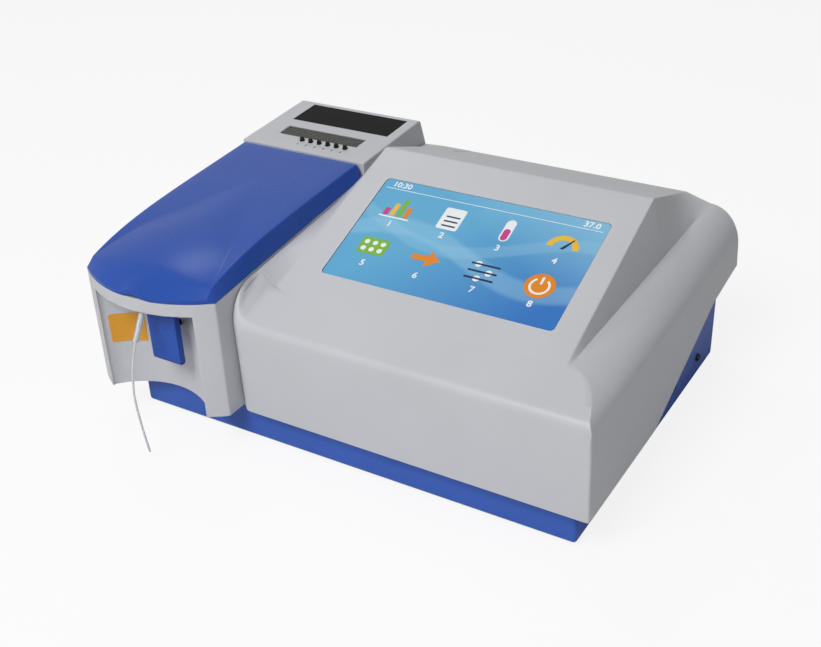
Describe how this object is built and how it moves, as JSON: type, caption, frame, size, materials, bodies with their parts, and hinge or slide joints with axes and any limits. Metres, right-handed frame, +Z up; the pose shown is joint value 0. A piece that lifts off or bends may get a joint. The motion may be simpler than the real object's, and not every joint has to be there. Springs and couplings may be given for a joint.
{
  "type": "benchtop chemistry analyzer",
  "caption": "Benchtop clinical chemistry analyzer with a sloped touch panel, a lidded sampling module with a hand trigger and sipper tube, and a rear paper printer.",
  "frame": {"origin": "centre of the analyzer's footprint on the table, without the free sipper tube and its sleeve", "axes": "+X to the right, +Y to the rear, +Z up from the table"},
  "size_m": [0.3364, 0.2838, 0.1476],
  "materials": {
    "grey_plastic": "fine satin texture",
    "blue_plastic": "satin gloss",
    "blue_paint": "powder coat",
    "black_plastic": "matt",
    "black_metal": "black anodised",
    "bare_aluminium": "machined",
    "steel": "bright",
    "board_green": "solder mask",
    "clear_glass": "clear",
    "smoked_glass": "smoked, polished",
    "screen_glass": "satin glass over a lit display",
    "rubber": "matt",
    "paper": "paper"
  },
  "bodies": {
    "analyzer": {"upper_housing": "grey_plastic", "module_housing": "grey_plastic", "base_tray": "blue_paint", "vent_strip": "black_plastic", "microswitch": "black_plastic", "nozzle_holder": "black_plastic", "pump_head": "black_plastic", "fan_frame": "black_plastic", "power_inlet": "black_plastic", "switch_body": "black_plastic", "printer_frame": "black_plastic", "lcd_module": "black_metal", "filter_motor": "black_metal", "flow_cell_block": "black_metal", "optics_bench": "bare_aluminium", "lamp_housing": "bare_aluminium", "print_head": "bare_aluminium", "side_screw_1": "steel", "side_screw_2": "steel", "lid_hinge_pin": "steel", "trigger_pin": "steel", "pump_motor": "steel", "power_supply": "steel", "serial_port": "steel", "usb_port": "steel", "waste_outlet": "steel", "display_board": "board_green", "detector_board": "board_green", "main_board": "board_green", "clear_sleeve": "clear_glass", "sipper_tube": "clear_glass", "flow_cell": "clear_glass", "halogen_lamp": "clear_glass", "condenser_lens": "clear_glass", "pump_tube": "clear_glass", "status_window": "smoked_glass", "touch_glass": "screen_glass", "foot_1": "rubber", "foot_2": "rubber", "foot_3": "rubber", "foot_4": "rubber"},
    "lid": {"sample_lid": "blue_plastic"},
    "trigger": {"trigger_paddle": "blue_plastic"},
    "rod": {"trigger_rod": "black_plastic"},
    "cover": {"printer_cover": "grey_plastic"},
    "platen": {"platen_roller": "rubber"},
    "roll": {"paper_roll": "paper"},
    "fan": {"fan_rotor": "black_plastic"},
    "wheel": {"filter_wheel": "black_metal"},
    "rotor": {"pump_rotor": "bare_aluminium"},
    "rocker": {"power_switch": "black_plastic"},
    "key_1": {"key_1": "black_plastic"},
    "key_2": {"key_2": "black_plastic"},
    "key_3": {"key_3": "black_plastic"},
    "key_4": {"key_4": "black_plastic"},
    "key_5": {"key_5": "black_plastic"},
    "key_6": {"key_6": "black_plastic"},
    "roller_1": {"pump_roller_1": "black_plastic"},
    "roller_2": {"pump_roller_2": "black_plastic"},
    "roller_3": {"pump_roller_3": "black_plastic"}
  },
  "joints": [
    {"name": "lid_hinge", "type": "hinge", "parent": "analyzer", "child": "lid", "pos_m": [-0.11725, 0.04245, 0.12825], "axis": [-1, 0, 0], "range_deg": [0, 85]},
    {"name": "trigger_hinge", "type": "hinge", "parent": "analyzer", "child": "trigger", "pos_m": [-0.10725, -0.1175, 0.101], "axis": [1, 0, 0], "range_deg": [0, 4], "stiffness_Nm_per_rad": 0.2},
    {"name": "rod_slide", "type": "slide", "parent": "analyzer", "child": "rod", "axis": [0, 1, 0], "range_m": [0, 0.0017]},
    {"name": "cover_hinge", "type": "hinge", "parent": "analyzer", "child": "cover", "pos_m": [0.02525, 0.12805, 0.09], "axis": [-1, 0, 0], "range_deg": [0, 80]},
    {"name": "platen_spin", "type": "hinge", "parent": "cover", "child": "platen", "pos_m": [0.02525, 0.10475, 0.1204], "axis": [1, 0, 0], "continuous": true},
    {"name": "roll_spin", "type": "hinge", "parent": "analyzer", "child": "roll", "pos_m": [0.02525, 0.10925, 0.1], "axis": [1, 0, 0], "continuous": true},
    {"name": "fan_spin", "type": "hinge", "parent": "analyzer", "child": "fan", "pos_m": [0.12225, 0.12715, 0.039], "axis": [0, 1, 0], "continuous": true},
    {"name": "wheel_spin", "type": "hinge", "parent": "analyzer", "child": "wheel", "pos_m": [-0.12273, -0.04775, 0.0838], "axis": [0, 1, 0], "continuous": true},
    {"name": "pump_spin", "type": "hinge", "parent": "analyzer", "child": "rotor", "pos_m": [-0.02775, -0.07075, 0.039], "axis": [0, 1, 0], "continuous": true},
    {"name": "rocker_hinge", "type": "hinge", "parent": "analyzer", "child": "rocker", "pos_m": [0.01025, 0.12925, 0.033], "axis": [1, 0, 0], "range_deg": [0, 16]},
    {"name": "key_1_press", "type": "slide", "parent": "analyzer", "child": "key_1", "axis": [0, 0.0628, -0.998], "range_m": [0, 0.0006], "stiffness_N_per_m": 800},
    {"name": "key_2_press", "type": "slide", "parent": "analyzer", "child": "key_2", "axis": [0, 0.0628, -0.998], "range_m": [0, 0.0006], "stiffness_N_per_m": 800},
    {"name": "key_3_press", "type": "slide", "parent": "analyzer", "child": "key_3", "axis": [0, 0.0628, -0.998], "range_m": [0, 0.0006], "stiffness_N_per_m": 800},
    {"name": "key_4_press", "type": "slide", "parent": "analyzer", "child": "key_4", "axis": [0, 0.0628, -0.998], "range_m": [0, 0.0006], "stiffness_N_per_m": 800},
    {"name": "key_5_press", "type": "slide", "parent": "analyzer", "child": "key_5", "axis": [0, 0.0628, -0.998], "range_m": [0, 0.0006], "stiffness_N_per_m": 800},
    {"name": "key_6_press", "type": "slide", "parent": "analyzer", "child": "key_6", "axis": [0, 0.0628, -0.998], "range_m": [0, 0.0006], "stiffness_N_per_m": 800},
    {"name": "roller_1_spin", "type": "hinge", "parent": "rotor", "child": "roller_1", "pos_m": [-0.02775, -0.07075, 0.05], "axis": [0, 1, 0], "continuous": true},
    {"name": "roller_2_spin", "type": "hinge", "parent": "rotor", "child": "roller_2", "pos_m": [-0.03728, -0.07075, 0.0335], "axis": [0, 1, 0], "continuous": true},
    {"name": "roller_3_spin", "type": "hinge", "parent": "rotor", "child": "roller_3", "pos_m": [-0.01822, -0.07075, 0.0335], "axis": [0, 1, 0], "continuous": true}
  ],
  "couplings": [
    {"joint": "rod_slide", "follows": "trigger_hinge", "m_per_rad": 0.023},
    {"joint": "roll_spin", "follows": "platen_spin", "ratio": 0.31034},
    {"joint": "roller_1_spin", "follows": "pump_spin", "ratio": -3.75},
    {"joint": "roller_2_spin", "follows": "pump_spin", "ratio": -3.75},
    {"joint": "roller_3_spin", "follows": "pump_spin", "ratio": -3.75}
  ]
}
